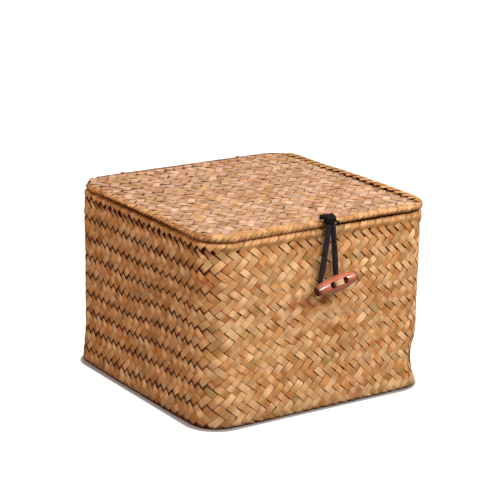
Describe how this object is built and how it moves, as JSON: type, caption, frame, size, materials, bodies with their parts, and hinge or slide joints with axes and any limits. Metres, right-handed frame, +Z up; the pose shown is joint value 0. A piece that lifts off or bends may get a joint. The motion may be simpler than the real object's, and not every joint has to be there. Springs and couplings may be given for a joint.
{
  "type": "woven lidded box",
  "caption": "Square box of plaited seagrass with rounded corners, a folded rim and a hinged flat lid, held shut by a cord loop over a wooden toggle.",
  "frame": {"origin": "middle of the underside, on the surface that the box stands on", "axes": "+X to the right along the front, +Y from the front with the toggle to the back with the hinge, +Z up"},
  "size_m": [0.202, 0.2244, 0.1544],
  "materials": {
    "woven_straw": "plaited seagrass strips, golden tan, dull with a faint sheen along the fibres",
    "lid_straw": "plaited seagrass strips, pale tan",
    "lining_straw": "plaited seagrass strips of the inside",
    "folded_straw": "folded seagrass strips, pale straw",
    "hinge_twine": "two-ply grass twine",
    "black_cord": "black braided cord, soft sheen",
    "toggle_wood": "turned reddish wood, clear lacquer",
    "stitch_straw": "pale raffia strip"
  },
  "bodies": {
    "root": {"base_outer": "woven_straw", "base_inner": "lining_straw", "wall_outer": "woven_straw", "wall_inner": "lining_straw", "body_rim": "folded_straw", "hinge_loop_left": "hinge_twine", "hinge_loop_right": "hinge_twine", "stitch_leg_left": "stitch_straw", "stitch_leg_right": "stitch_straw", "stitch_inside_bar": "stitch_straw"},
    "lid": {"lid_top_panel": "lid_straw", "lid_under_panel": "lining_straw", "lid_border": "folded_straw", "cord_knot": "black_cord"},
    "loop": {"cord_loop": "black_cord"},
    "toggle": {"toggle": "toggle_wood", "stitch_bar": "stitch_straw"}
  },
  "joints": [
    {"name": "lid_hinge", "type": "hinge", "parent": "root", "child": "lid", "pos_m": [0, 0.101, 0.1418], "axis": [-1, 0, 0], "range_deg": [0, 180], "deforming": ["cord_loop"]},
    {"name": "loop_swing", "type": "hinge", "parent": "lid", "child": "loop", "pos_m": [0.0009, -0.1052, 0.1454], "axis": [-1, 0, 0], "range_deg": [0, 100], "deforming": ["cord_loop"]},
    {"name": "toggle_swivel", "type": "hinge", "parent": "root", "child": "toggle", "pos_m": [0.0034, -0.1105, 0.1013], "axis": [0, -1, 0], "range_deg": [-25, 25], "deforming": ["stitch_leg_left", "stitch_leg_right"]}
  ]
}
